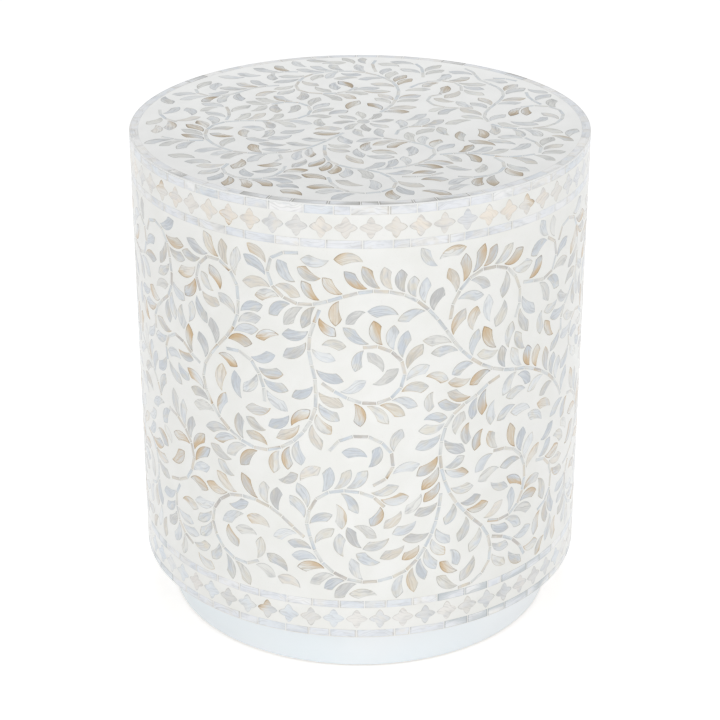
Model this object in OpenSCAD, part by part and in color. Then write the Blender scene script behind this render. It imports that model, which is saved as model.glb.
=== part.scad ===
// Drum side table with shell inlay in a resin ground.
// The origin is on the floor at the drum's axis, +Z is up and the front faces -Y.

/* [Drum] */
// Outside diameter of the drum
drum_d = 405; // [360:1:480]
// Height of the top face above the floor
table_h = 450; // [410:1:540]
// Thickness of the bent plywood wall
wall_t = 9; // [6:0.5:14]
// Thickness of the fibreboard panel under the top inlay
top_t = 16; // [12:0.5:25]
// Thickness of the fibreboard panel that closes the drum's foot
base_t = 15; // [12:0.5:22]

/* [Plinth] */
// Height of the drum's foot above the floor
plinth_h = 46; // [34:1:70]
// How far the plinth stands back from the drum's side
plinth_recess = 25; // [12:1:45]
// Thickness of the metal sleeve round the plinth
sleeve_t = 1; // [0.6:0.1:2]
// Thickness of the plinth's bent plywood ring
ring_t = 12; // [8:0.5:18]
// Thickness of the nylon glides that the table stands on
glide_t = 1.5; // [1:0.5:4]
// Diameter of a glide
glide_d = 24; // [16:1:28]
// Diameter of the pin that holds a glide
pin_d = 3; // [2:0.5:4]
// Length of that pin
pin_l = 12; // [8:1:16]

/* [Inner frame] */
// Number of posts in the drum, and of blocks in the plinth
post_n = 6; // [4:1:8]
// Width of a post
post_w = 32; // [24:1:40]
// Depth of a post, measured inwards from the wall
post_d = 22; // [16:1:28]
// Depth of a hoop, measured inwards from the wall
hoop_d = 36; // [32:1:50]
// Thickness of a hoop
hoop_t = 15; // [9:1:20]
// Width of a plinth block
block_w = 40; // [30:1:50]
// Depth of a plinth block, measured inwards from the ring
block_d = 28; // [24:1:34]
// Gap between a post and the notch that it passes through
notch_gap = 0.3; // [0.2:0.1:0.6]

/* [Screws] */
// Shank diameter of the wood screws
screw_d = 4; // [3.5:0.5:5]
// Head diameter of the wood screws
head_d = 8; // [7:0.5:10]
// Height of the countersunk head
head_h = 2.6; // [2:0.2:3.4]
// Grip of a screw in the piece that it bites into
screw_grip = 24; // [16:1:30]
// Radial clearance of a screw in the panel that it passes through
screw_gap = 0.3; // [0.2:0.1:0.6]

/* [Inlay tiles] */
// Thickness of the shell tiles
tile_t = 1.2; // [1:0.1:1.6]
// Thickness of the resin ground on the wall, under the tiles
ground_t = 1; // [0.6:0.1:2]
// Glue gap round each tile that is let into the top
glue_gap = 0.25; // [0.1:0.05:0.3]
// Length of a leaf
leaf_l = 24.4; // [17:0.2:26]
// Width of a leaf
leaf_w = 10.2; // [7:0.2:11]
// Length of a stem tile
stem_l = 12.2; // [8:0.2:16]
// Width of a stem tile
stem_w = 3; // [2.4:0.1:4]
// Resin joint between two tiles of one stem or one strip
joint = 0.8; // [0.5:0.1:1.4]
// Least width of resin between two leaves
leaf_air = 1.2; // [1.2:0.1:3]

/* [Borders] */
// Resin margin between the drum's edge and the first strip
edge_margin = 0.8; // [0.8:0.1:3]
// Width of a strip
strip_w = 7.2; // [5:0.2:9]
// Length of a strip tile
strip_l = 23; // [18:0.5:30]
// Size of a star from point to point
star_d = 19; // [15:0.2:22]
// Width of one lobe of a star
star_lobe = 9.8; // [7:0.1:10.5]
// Distance from a star's centre to where its lobes are widest
star_waist = 1.2; // [0.5:0.1:4]
// Distance between the centres of two stars
star_pitch = 20.2; // [18:0.1:26]
// Resin between a strip and the points of the stars
band_gap = 1.6; // [0.8:0.1:3]
// Radius of the worn outer edge of the top
edge_r = 0.6; // [0.4:0.1:0.7]

/* [Hidden] */
$fn = 96;

// Overshoot of every cut past the surface that it opens
cut = 1;
// Radii, from the outside inwards
drum_r = drum_d / 2;
ground_r = drum_r - tile_t;
wall_r = ground_r - ground_t;
inner_r = wall_r - wall_t;
sleeve_r = drum_r - plinth_recess;
ring_r = sleeve_r - sleeve_t;
ring_in = ring_r - ring_t;
// Heights, from the top downwards
tile_z = table_h - tile_t;
panel_z = tile_z - top_t;
band_h = edge_margin + 2 * strip_w + star_d + 2 * band_gap;
field_top = table_h - band_h;
field_foot = plinth_h + band_h;
base_z = plinth_h + base_t;
// Circles on which the screws stand
post_circle = inner_r - post_d / 2;
block_circle = ring_in - block_d / 2;
block_turn = 180 / post_n;

// Colours of the pieces
fibreboard = [0.72, 0.58, 0.42];
plywood = [0.80, 0.68, 0.50];
pine = [0.86, 0.74, 0.55];
steel = [0.62, 0.62, 0.64];
resin = [0.94, 0.94, 0.92];
lacquer = [0.88, 0.91, 0.93];
shell_blue = [0.76, 0.82, 0.87];
shell_grey = [0.74, 0.74, 0.73];
shell_tan = [0.80, 0.68, 0.54];

// Widths of the drawn sheets that the vines were laid out on
sheet_w = 424;
sheet_foot = 84;
sheet_top = 412;
disc_sheet_r = 193;
// The side repeats its drawn sheet this many times round the drum
side_repeats = 3;

// Vines of the side, each from its root to its tip: distance round from the middle of
// the front, and height above the floor
side_vines = [
    [[214, 233], [204, 248], [188, 263], [170, 274], [154, 281], [138, 284], [120, 290],
        [104, 299], [90, 311], [79, 325], [70, 339], [60, 352], [50, 362], [38, 370],
        [24, 374], [8, 375], [-8, 372], [-22, 367], [-35, 363], [-48, 361], [-60, 364],
        [-70, 371], [-76, 380], [-77, 390], [-73, 400], [-63, 405], [-50, 406]],
    [[-33, 358], [-38, 345], [-42, 330], [-42, 314], [-38, 300], [-37, 285], [-37, 270],
        [-42, 255], [-52, 240], [-66, 229], [-82, 223], [-98, 224], [-113, 231],
        [-127, 242], [-138, 256], [-144, 270], [-144, 284], [-138, 296], [-128, 309],
        [-119, 319], [-111, 330], [-106, 343], [-105, 357], [-106, 369], [-111, 379],
        [-120, 386], [-131, 389], [-141, 384], [-148, 374], [-149, 364], [-145, 354]],
    [[-130, 303], [-122, 308], [-112, 310], [-102, 309], [-94, 304], [-88, 296],
        [-84, 286], [-82, 277], [-82, 268]],
    [[-32, 292], [-20, 284], [-6, 277], [8, 274], [21, 276], [31, 283], [36, 293],
        [37, 304], [33, 314], [24, 322], [13, 326], [2, 325]],
    [[78, 331], [76, 340], [77, 354], [83, 367], [92, 377], [104, 383], [118, 383],
        [130, 379], [139, 370], [145, 358], [146, 345], [141, 331]],
    [[149, 361], [160, 359], [174, 356], [186, 358], [193, 366], [194, 378], [189, 388],
        [180, 392]],
    [[196, 371], [198, 384], [203, 394], [214, 398], [226, 396], [235, 386], [239, 373],
        [241, 360], [240, 347], [234, 336], [224, 328], [214, 319], [208, 308],
        [209, 296]],
    [[126, 282], [116, 279], [104, 271], [92, 265], [81, 257], [74, 247], [70, 233],
        [69, 218], [71, 204], [75, 191], [81, 177], [90, 165], [101, 152], [111, 142],
        [118, 130], [121, 116], [119, 103], [111, 93], [99, 87], [88, 86]],
    [[105, 149], [118, 145], [133, 142], [146, 146], [155, 156], [159, 170], [159, 184],
        [154, 197], [145, 206], [133, 211], [121, 212]],
    [[71, 197], [70, 180], [68, 165], [64, 150], [58, 136], [50, 123], [39, 112],
        [25, 106], [10, 103], [-5, 104], [-18, 109], [-30, 118], [-38, 130], [-43, 145],
        [-46, 160], [-41, 177], [-31, 188], [-16, 192], [-2, 191], [10, 187], [21, 176]],
    [[-2, 194], [8, 196], [19, 201], [26, 209], [28, 219], [25, 230], [16, 239], [4, 244],
        [-9, 243], [-19, 238], [-26, 229]],
    [[-48, 144], [-55, 150], [-65, 159], [-76, 167], [-90, 172], [-106, 173], [-120, 170],
        [-131, 161], [-138, 149], [-139, 136], [-134, 123], [-124, 112], [-111, 107],
        [-99, 108], [-91, 113]],
    [[-197, 158], [-183, 162], [-172, 168], [-164, 180], [-161, 193], [-164, 206],
        [-172, 217], [-184, 225], [-197, 228], [-209, 232]],
    [[-183, 157], [-189, 147], [-190, 133], [-186, 119], [-177, 109], [-166, 104]],
    [[162, 181], [174, 184], [187, 181], [197, 171], [201, 158], [199, 145], [191, 136],
        [180, 132]],
    [[122, 128], [134, 124], [146, 117], [156, 107], [163, 95]],
    [[-148, 287], [-158, 292], [-169, 300], [-181, 303], [-192, 297], [-197, 286],
        [-195, 274]],
];

// Vines of the top, each from its root to its tip, as distances from the centre
top_vines = [
    [[-14, -27], [-24, -41], [-34, -55], [-46, -68], [-62, -77], [-84, -80],
        [-105, -76], [-121, -62], [-131, -45], [-134, -28], [-131, -12], [-122, 0],
        [-106, 5], [-88, 5], [-72, 5], [-57, 10], [-47, 20], [-44, 32], [-46, 45],
        [-55, 55], [-67, 57], [-80, 51]],
    [[-30, -59], [-30, -77], [-27, -95], [-20, -107], [-6, -117], [10, -122], [22, -134],
        [29, -149], [27, -163], [15, -173], [-1, -175], [-15, -167], [-23, -153],
        [-26, -138]],
    [[14, -120], [28, -117], [42, -110], [54, -99], [62, -86], [63, -72], [56, -60],
        [45, -52], [32, -46], [20, -41]],
    [[67, -83], [80, -80], [94, -79], [108, -84], [121, -89], [135, -87], [148, -82]],
    [[113, -90], [119, -100], [120, -112], [116, -124], [106, -134], [93, -138],
        [80, -136]],
    [[18, 28], [27, 45], [32, 62], [35, 80], [35, 97], [30, 117], [20, 132],
        [7, 144], [-7, 149], [-25, 149], [-40, 144], [-51, 133], [-57, 117], [-59, 101],
        [-54, 89], [-41, 82], [-25, 82], [-11, 89], [-3, 101]],
    [[20, 136], [15, 148], [13, 160], [12, 172], [15, 184]],
    [[38, 89], [46, 99], [54, 110], [64, 118], [76, 120], [87, 115], [93, 104], [93, 90]],
    [[57, 116], [59, 132], [59, 147], [58, 161], [53, 173]],
    [[113, 2], [110, 16], [113, 32], [120, 48], [127, 63], [131, 79], [129, 95],
        [122, 108], [113, 119], [109, 133], [106, 147], [99, 158]],
    [[114, 43], [102, 40], [88, 40], [75, 43], [65, 51], [61, 63], [65, 75], [75, 80]],
    [[115, -4], [123, -12], [136, -16], [151, -15], [165, -9], [175, 3], [180, 18],
        [179, 33], [170, 44], [157, 47], [144, 43]],
    [[163, 50], [157, 61], [153, 73], [152, 86]],
    [[31, -32], [34, -20], [42, -12], [54, -10], [66, -12]],
    [[-118, 7], [-116, 18], [-117, 31], [-120, 44]],
    [[-179, 36], [-177, 22], [-171, 10], [-161, 2]],
    [[-62, 104], [-74, 106], [-88, 103], [-101, 96], [-111, 85], [-124, 76], [-138, 75],
        [-148, 83], [-151, 95]],
    [[-134, -47], [-147, -47], [-160, -44], [-171, -37]],
    [[-110, -105], [-114, -118], [-109, -131], [-98, -140], [-84, -142], [-72, -136],
        [-65, -125], [-62, -111]],
    [[34, -137], [46, -137], [58, -134], [69, -127]],
    [[146, -92], [152, -78], [154, -64], [150, -51], [142, -40]],
    [[-68, -83], [-66, -93], [-71, -101]],
    [[-46, 141], [-58, 147], [-71, 148], [-84, 143]],
    [[112, 124], [124, 128], [135, 126], [146, 119]],
];

// A number from 0 to 1 that looks random but is always the same for the same i and k
function chance(i, k) = let(v = sin(i * 127.1 + k * 311.7) * 4375.85) v - floor(v);

// Points of a smooth curve through the points of a vine
function smooth(v, n = 6) = concat(
    [for (i = [0:len(v) - 2], j = [0:n - 1])
        let(a = v[max(i - 1, 0)], b = v[i], c = v[i + 1], d = v[min(i + 2, len(v) - 1)])
        let(t = j / n)
        0.5 * (2 * b + (c - a) * t + (2 * a - 5 * b + 4 * c - d) * t * t
            + (3 * b - a - 3 * c + d) * t * t * t)],
    [v[len(v) - 1]]);

// A vine as tables of x and y against the length run from its root, and its whole length
function route(v) = let(p = smooth(v), n = len(p))
    let(run = [for (i = 0, s = 0; i < n; s = s + norm(p[min(i + 1, n - 1)] - p[i]), i = i + 1) s])
    [[for (i = [0:n - 1]) [run[i], p[i][0]]], [for (i = [0:n - 1]) [run[i], p[i][1]]],
        run[n - 1]];
function spot(r, d) = [lookup(d, r[0]), lookup(d, r[1])];
function heading(r, d) = let(q = spot(r, d + 1.5) - spot(r, d - 1.5)) atan2(q[1], q[0]);

// Stem tiles of a vine, each as [x, y, heading, length, number of its vine, corners]
function tile_end(r, d, back, side) = let(p = spot(r, d), h = heading(r, d))
    along(along(p, h, back), h + 90 * side, stem_w / 2);
function stem_tiles(r, v) = let(n = max(1, round(r[2] / (stem_l + joint))), p = r[2] / n, j = joint / 2)
    [for (i = [0:n - 1]) let(a = spot(r, i * p), b = spot(r, (i + 1) * p))
        [(a[0] + b[0]) / 2, (a[1] + b[1]) / 2, atan2(b[1] - a[1], b[0] - a[0]), norm(b - a) - joint, v,
            [tile_end(r, i * p, j, -1), tile_end(r, (i + 1) * p, -j, -1),
                tile_end(r, (i + 1) * p, -j, 1), tile_end(r, i * p, j, 1)]]];
function along(p, dir, d) = [p[0] + d * cos(dir), p[1] + d * sin(dir)];
function offset_to(a, b, period) = let(dx = a[0] - b[0])
    [period > 0 ? dx - period * round(dx / period) : dx, a[1] - b[1]];
// Distance from a point to the middle line of a stem tile
function to_stem(p, t, period) = let(q = offset_to(p, t, period), c = cos(t[2]), s = sin(t[2]))
    norm([max(abs(q[0] * c + q[1] * s) - t[3] / 2, 0), q[1] * c - q[0] * s]);

// A stem tile stays only if it is clear of the tiles of the vines before its own
function keep_stems(tiles, period, i = 0, kept = []) = i == len(tiles) ? kept :
    let(t = tiles[i], others = [for (k = kept)
        if (k[4] != t[4] && norm(offset_to(t, k, period)) < 2 * stem_l) k])
    let(hits = [for (k = [-0.5, -0.25, 0, 0.25, 0.5], o = others)
        if (to_stem(along(t, t[2], k * t[3]), o, period) < stem_w + joint) 1])
    keep_stems(tiles, period, i + 1, len(hits) == 0 ? concat(kept, [t]) : kept);

// A leaf is [x, y, direction, length, width, side of the stem, shade]; its marks are circles
// that fill its outline, as [x, y, radius]
mark_table = [[0.06, -0.065, 0.08], [0.18, -0.18, 0.21], [0.34, -0.25, 0.34], [0.46, -0.24, 0.42],
    [0.6, -0.155, 0.48], [0.665, 0.27, 0.15], [0.76, -0.07, 0.38], [0.9, -0.035, 0.2], [0.975, 0, 0.07]];
function leaf_marks(f) = [for (k = mark_table)
    let(p = along(along(f, f[2], k[0] * f[3]), f[2] + 90 * f[5], k[1] * f[4]))
    [p[0], p[1], k[2] * f[4]]];
function in_bounds(marks, bounds) = len([for (m = marks) if (bounds[0] > 0
    ? norm([m[0], m[1]]) + m[2] > bounds[0]
    : m[1] - m[2] < bounds[1] || m[1] + m[2] > bounds[2]) 1]) == 0;
function fits(marks, dots, stems, bounds, period) = in_bounds(marks, bounds)
    && len([for (m = marks, t = stems) if (to_stem(m, t, period) < m[2] + stem_air) 1]) == 0
    && len([for (m = marks, g = dots)
        if (norm(offset_to(m, g, period)) < m[2] + g[2] + leaf_air) 1]) == 0;

// Ways in which a leaf may be set: its lean from the stem and its share of the full length
leaf_ways = [[38, 1], [48, 0.97], [28, 0.97], [60, 0.93], [38, 0.88], [52, 0.84], [26, 0.84]];
leaf_step = 10;
leaf_start = 0.9;
stem_air = stem_w / 2 + 0.8;
row_step = 15.5;
function leaf_places(routes, rows) = [for (row = [0:rows - 1], v = [0:len(routes) - 1])
    let(r = routes[v], n = floor(r[2] / leaf_step))
    for (i = [0:n], side = [1, -1])
        let(d = min(r[2], (i + 0.7 - (side > 0 ? 0 : 0.5)) * leaf_step), h = heading(r, d))
        let(p = along(spot(r, d), h + side * 90, stem_w / 2 + leaf_start + row * row_step))
        [p[0], p[1], h, side, row]];
// Places between the vines, on a loose grid, where a leaf may still fit
fill_step = 10;
function fill_field(w, low, high) = [for (i = [0:floor(w / fill_step) - 1],
        j = [0:floor((high - low) / fill_step) - 1])
    let(k = 71 * i + j)
        [(i + 0.6 * chance(k, 10)) * fill_step, low + (j + 0.2 + 0.6 * chance(k, 11)) * fill_step,
            360 * chance(k, 12), chance(k, 13) < 0.5 ? 1 : -1, 0]];
function fill_places(r) = let(n = floor(r / fill_step))
    [for (i = [-n:n], j = [-n:n])
        let(k = 53 * i + j, p = [i + 0.6 * chance(k, 6), j + 0.6 * chance(k, 7)] * fill_step)
        if (norm(p) < r) [p[0], p[1], 360 * chance(k, 8), chance(k, 9) < 0.5 ? 1 : -1, 0]];
function set_leaf(c, i, way) = let(swell = 0.9 + 0.2 * chance(i, 1))
    [c[0], c[1], c[2] + c[3] * (way[0] * (c[4] > 0 ? 0.7 : 1) + 10 * (chance(i, 2) - 0.5)),
        leaf_l * way[1] * swell, leaf_w * (0.9 + 0.2 * chance(i, 3)) * sqrt(way[1]), c[3],
        chance(i, 4) < 0.43 ? 0 : chance(i, 4) < 0.82 ? 1 : 2];
// A place whose root is already taken is left at once
function first_fit(c, i, dots, stems, bounds, period, w = 0) = w == len(leaf_ways)
    || (w == 0 && !fits([[c[0], c[1], -0.5]], dots, stems, bounds, period)) ? [] :
    let(f = set_leaf(c, i, leaf_ways[w]))
    fits(leaf_marks(f), dots, stems, bounds, period) ? [f]
        : first_fit(c, i, dots, stems, bounds, period, w + 1);
function grow(places, stems, bounds, period, i = 0, leaves = []) = i == len(places) ? leaves :
    let(c = places[i])
    let(dots = [for (g = leaves) if (norm(offset_to(c, g, period)) < 2.2 * leaf_l) each leaf_marks(g)])
    let(near = [for (t = stems) if (norm(offset_to(c, t, period)) < 1.6 * leaf_l) t])
    grow(places, stems, bounds, period, i + 1,
        concat(leaves, first_fit(c, i, dots, near, bounds, period)));

// The side's layout, drawn once and repeated round the drum
side_period = 2 * PI * ground_r / side_repeats;
field_scale = (field_top - field_foot) / (sheet_top - sheet_foot);
function side_point(p) = [p[0] * side_period / sheet_w, field_foot + (p[1] - sheet_foot) * field_scale];
function side_routes() = [for (v = side_vines) route([for (p = v) side_point(p)])];
function side_stem_list() = let(r = side_routes())
    keep_stems([for (v = [0:len(r) - 1]) each stem_tiles(r[v], v)], side_period);
function side_leaf_list() =
    let(places = concat(leaf_places(side_routes(), 3), fill_field(side_period, field_foot, field_top)))
    grow(places, side_stem_list(), [0, field_foot + leaf_air, field_top - leaf_air], side_period);

// The top's layout
border_out = drum_r - edge_margin;
border_in = border_out - strip_w;
disc_r = border_in - leaf_air;
function top_point(p) = p * disc_r / disc_sheet_r;
function top_routes() = [for (v = top_vines) route([for (p = v) top_point(p)])];
function top_stem_list() = let(r = top_routes())
    keep_stems([for (v = [0:len(r) - 1]) each stem_tiles(r[v], v)], 0);
rosette_at = [3, 3];
rosette_n = 8;
rosette_r = 5.5;
rosette_turn = 10;
function rosette_leaves() = [for (i = [0:rosette_n - 1])
    let(a = rosette_turn + i * 360 / rosette_n, p = along(rosette_at, a, rosette_r + leaf_air))
    [p[0], p[1], a, leaf_l * 0.86, leaf_w * 0.8, 1, 0]];
function top_leaf_list() = let(r = rosette_leaves(), n = len(r))
    let(places = concat(leaf_places(top_routes(), 3), fill_places(disc_r)))
    let(all = grow(places, top_stem_list(), [disc_r, 0, 0], 0, 0, r))
    [for (i = [n:len(all) - 1]) all[i]];

// Counts and joints of the borders
star_n = round(2 * PI * ground_r / star_pitch);
edge_drop = max(edge_margin, tile_t);
upper_edge_z = table_h - edge_drop - strip_w;
upper_star_z = upper_edge_z - band_gap - star_d / 2;
upper_inner_z = field_top;
lower_edge_z = plinth_h + edge_margin;
lower_star_z = lower_edge_z + strip_w + band_gap + star_d / 2;
lower_inner_z = field_foot - strip_w;
// Thickness of a flat tile of a given width that keeps its corners inside the drum's side
function flat_t(w) = sqrt(drum_r * drum_r - w * w / 4) - ground_r - 0.02;
full_leaf = 1.1 * leaf_l;

// Circle through both ends of a chord of length l, bulging by s to the side d
module bow(l, s, d, g) {
    r = (l * l / 4 + s * s) / (2 * s);
    translate([l / 2, d * (s - r)]) circle(r = r + g);
}

// Outline of a leaf with its point at the origin; g widens it all round
module leaf_outline(l, w, g = 0) {
    difference() {
        intersection() {
            bow(l, 0.48 * w, 1, g);
            bow(l, 0.68 * w, -1, g);
        }
        translate([0.04 * l, 1.2 * l]) circle(r = 1.202 * l - g);
    }
}
module turned_leaf(f, g = 0) {
    rotate([0, 0, f[2]]) mirror([0, f[5] > 0 ? 0 : 1, 0]) leaf_outline(f[3], f[4], g);
}

// Outline of a star: four lobes, each the overlap of two circles, widest at the star's waist
module star_outline() {
    reach = star_d / 2 - star_waist;
    r = (star_lobe * star_lobe / 4 + reach * reach) / star_lobe;
    for (a = [0, 90, 180, 270])
        rotate([0, 0, a])
            intersection_for(side = [1, -1])
                translate([star_waist, side * (r - star_lobe / 2)]) circle(r = r);
}

// Sets a flat outline on the drum's ground at distance s round from the front and height z
module on_side(s, z, t) {
    rotate([0, 0, s / ground_r * 180 / PI - 90])
        translate([ground_r, 0, z])
            rotate([90, 0, 90])
                linear_extrude(t) children();
}
module ring(r_in, r_out, z, h) {
    translate([0, 0, z])
        difference() {
            cylinder(r = r_out, h = h);
            translate([0, 0, -cut]) cylinder(r = r_in, h = h + 2 * cut);
        }
}
module round_posts(turn = 0) {
    for (i = [0:post_n - 1]) rotate([0, 0, turn + i * 360 / post_n]) children();
}

// A wood screw driven down from z = 0, its head flush there; g is clearance on the shank
module screw(l, g = 0) {
    translate([0, 0, -l]) cylinder(r = screw_d / 2 + g, h = l);
    translate([0, 0, -head_h]) cylinder(r1 = screw_d / 2, r2 = head_d / 2, h = head_h);
}
block_grip = min(screw_grip, plinth_h - glide_t - pin_l - 4);
module at_top_screws() { round_posts() translate([post_circle, 0, tile_z]) children(); }
module at_base_screws() { round_posts() translate([post_circle, 0, plinth_h]) mirror([0, 0, 1]) children(); }
module at_plinth_screws() { round_posts(block_turn) translate([block_circle, 0, base_z]) children(); }

module top_panel() {
    color(fibreboard)
        difference() {
            translate([0, 0, panel_z]) cylinder(r = wall_r, h = top_t);
            at_top_screws() screw(top_t + cut, screw_gap);
            at_top_screws() cylinder(r = head_d / 2, h = cut);
        }
}
module drum_wall() {
    color(plywood) ring(inner_r, wall_r, plinth_h, panel_z - plinth_h);
}
module base_panel() {
    color(fibreboard)
        difference() {
            translate([0, 0, plinth_h]) cylinder(r = inner_r, h = base_t);
            at_base_screws() screw(base_t + cut, screw_gap);
            at_base_screws() cylinder(r = head_d / 2, h = cut);
            at_plinth_screws() screw(base_t + cut, screw_gap);
            at_plinth_screws() cylinder(r = head_d / 2, h = cut);
        }
}
module posts() {
    color(pine)
        difference() {
            intersection() {
                translate([0, 0, base_z]) cylinder(r = inner_r, h = panel_z - base_z);
                round_posts()
                    translate([inner_r - post_d, -post_w / 2, base_z])
                        cube([post_d + cut, post_w, panel_z - base_z]);
            }
            at_top_screws()
                translate([0, 0, -top_t - screw_grip]) cylinder(r = screw_d / 2, h = screw_grip + cut);
            at_base_screws()
                translate([0, 0, -base_t - screw_grip]) cylinder(r = screw_d / 2, h = screw_grip + cut);
        }
}
module hoop(z) {
    difference() {
        ring(inner_r - hoop_d, inner_r, z, hoop_t);
        round_posts()
            translate([inner_r - post_d - notch_gap, -post_w / 2 - notch_gap, z - cut])
                cube([post_d + notch_gap + cut, post_w + 2 * notch_gap, hoop_t + 2 * cut]);
    }
}
module upper_hoop() { color(plywood) hoop(panel_z - hoop_t); }
module middle_hoop() { color(plywood) hoop((base_z + panel_z - hoop_t) / 2); }
module top_screws() { color(steel) at_top_screws() screw(top_t + screw_grip); }
module base_screws() { color(steel) at_base_screws() screw(base_t + screw_grip); }
module plinth_ring() { color(plywood) ring(ring_in, ring_r, glide_t, plinth_h - glide_t); }
module plinth_sleeve() { color(lacquer) ring(ring_r, sleeve_r, glide_t, plinth_h - glide_t); }
module plinth_blocks() {
    color(pine)
        difference() {
            intersection() {
                translate([0, 0, glide_t]) cylinder(r = ring_in, h = plinth_h - glide_t);
                round_posts(block_turn)
                    translate([ring_in - block_d, -block_w / 2, glide_t])
                        cube([block_d + cut, block_w, plinth_h - glide_t]);
            }
            at_plinth_screws()
                translate([0, 0, -base_t - block_grip]) cylinder(r = screw_d / 2, h = block_grip + cut);
            round_posts(block_turn)
                translate([block_circle, 0, glide_t - cut]) cylinder(r = pin_d / 2, h = pin_l + cut);
        }
}
module plinth_screws() { color(steel) at_plinth_screws() screw(base_t + block_grip); }
module glides() {
    color([0.86, 0.86, 0.84])
        round_posts(block_turn)
            translate([block_circle, 0, 0]) {
                cylinder(r = glide_d / 2, h = glide_t);
                cylinder(r = pin_d / 2, h = glide_t + pin_l);
            }
}
module side_ground() { color(resin) ring(wall_r, ground_r, plinth_h, tile_z - plinth_h); }
module foot_bead() { color(resin) ring(ground_r, drum_r, plinth_h, edge_margin); }

// The rim has a quarter round at its top edge and closes the slot above the highest strip
module rim_profile() {
    translate([border_out, tile_z]) square([drum_r - edge_r - border_out, tile_t]);
    translate([border_out, tile_z]) square([drum_r - border_out, tile_t - edge_r]);
    translate([drum_r - edge_r, table_h - edge_r])
        intersection() {
            circle(r = edge_r);
            square(2 * edge_r);
        }
    translate([ground_r, table_h - edge_drop]) square([tile_t, edge_drop - edge_r]);
}
module top_resin() {
    color(resin) {
        rotate_extrude() rim_profile();
        translate([0, 0, tile_z])
            linear_extrude(tile_t)
                difference() {
                    circle(r = border_in - glue_gap);
                    for (t = top_stem_list()) polygon(stem_window(t));
                    for (f = top_leaf_list()) translate([f[0], f[1]]) turned_leaf(f, glue_gap);
                    for (f = rosette_leaves()) translate([f[0], f[1]]) turned_leaf(f, glue_gap);
                    translate(rosette_at) circle(r = rosette_r + glue_gap);
                }
    }
}

// One row of strip tiles: arcs of ring with joints that wander a little
module strips(r, z, w, h, phase) {
    n = round(2 * PI * drum_r / strip_l);
    gap = joint / drum_r * 180 / PI;
    starts = [for (i = [0:n]) (i % n == 0 ? 0 : 0.5 * (chance(i, phase) - 0.5)) * 360 / n + i * 360 / n];
    rotate([0, 0, phase * 7])
        for (i = [0:n - 1])
            rotate([0, 0, starts[i] + gap / 2])
                rotate_extrude(angle = starts[i + 1] - starts[i] - gap)
                    translate([r, z]) square([w, h]);
}
module top_border() { color(shell_blue) strips(border_in, tile_z, strip_w, tile_t, 1); }
module upper_edge_strips() { color(shell_blue) strips(ground_r, upper_edge_z, tile_t, strip_w, 2); }
module upper_inner_strips() { color(shell_blue) strips(ground_r, upper_inner_z, tile_t, strip_w, 3); }
module lower_inner_strips() { color(shell_blue) strips(ground_r, lower_inner_z, tile_t, strip_w, 4); }
module lower_edge_strips() { color(shell_blue) strips(ground_r, lower_edge_z, tile_t, strip_w, 5); }

// One row of stars; shift is where one of them stands beside the front
module star_row(z, shift) {
    for (i = [0:star_n - 1])
        on_side(shift + i * 2 * PI * ground_r / star_n, z, flat_t(star_d)) star_outline();
}
module upper_stars() { color(shell_grey) star_row(upper_star_z, 8.8); }
module lower_stars() { color(shell_grey) star_row(lower_star_z, -2.8); }

// Outline of a stem tile about its own centre
function stem_corners(t) = [for (c = t[5]) [c[0] - t[0], c[1] - t[1]]];
// Its window in the top, wider by the glue gap all round
function stem_window(t) = [for (c = t[5]) let(q = [c[0] - t[0], c[1] - t[1]], u = [cos(t[2]), sin(t[2])])
    let(x = q * u, y = q[1] * u[0] - q[0] * u[1])
    let(a = x + sign(x) * glue_gap, b = y + sign(y) * glue_gap)
    [t[0] + a * u[0] - b * u[1], t[1] + a * u[1] + b * u[0]]];
module side_stems() {
    color(shell_blue)
        for (k = [0:side_repeats - 1], t = side_stem_list())
            on_side(t[0] + k * side_period, t[1], flat_t(stem_l + stem_w)) polygon(stem_corners(t));
}
module side_leaves(shade) {
    for (f = side_leaf_list())
        if (f[6] == shade)
            for (k = [0:side_repeats - 1])
                on_side(f[0] + f[3] / 2 * cos(f[2]) + k * side_period, f[1], flat_t(full_leaf))
                    translate([-f[3] / 2 * cos(f[2]), 0]) turned_leaf(f);
}
module side_leaves_blue() { color(shell_blue) side_leaves(0); }
module side_leaves_grey() { color(shell_grey) side_leaves(1); }
module side_leaves_tan() { color(shell_tan) side_leaves(2); }

module top_rosette() {
    color(shell_grey)
        translate([0, 0, tile_z])
            linear_extrude(tile_t) {
                translate(rosette_at) circle(r = rosette_r);
                for (f = rosette_leaves()) translate([f[0], f[1]]) turned_leaf(f);
            }
}
module top_stems() {
    color(shell_blue)
        translate([0, 0, tile_z])
            linear_extrude(tile_t)
                for (t = top_stem_list()) translate([t[0], t[1]]) polygon(stem_corners(t));
}
module top_leaves(shade) {
    translate([0, 0, tile_z])
        linear_extrude(tile_t)
            for (f = top_leaf_list())
                if (f[6] == shade) translate([f[0], f[1]]) turned_leaf(f);
}
module top_leaves_blue() { color(shell_blue) top_leaves(0); }
module top_leaves_grey() { color(shell_grey) top_leaves(1); }
module top_leaves_tan() { color(shell_tan) top_leaves(2); }

top_panel();
drum_wall();
base_panel();
posts();
upper_hoop();
middle_hoop();
top_screws();
base_screws();
plinth_ring();
plinth_sleeve();
plinth_blocks();
plinth_screws();
glides();
side_ground();
top_resin();
foot_bead();
top_border();
upper_edge_strips();
upper_stars();
upper_inner_strips();
lower_inner_strips();
lower_stars();
lower_edge_strips();
side_stems();
side_leaves_blue();
side_leaves_grey();
side_leaves_tan();
top_rosette();
top_stems();
top_leaves_blue();
top_leaves_grey();
top_leaves_tan();
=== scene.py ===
import math
import random

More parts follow.
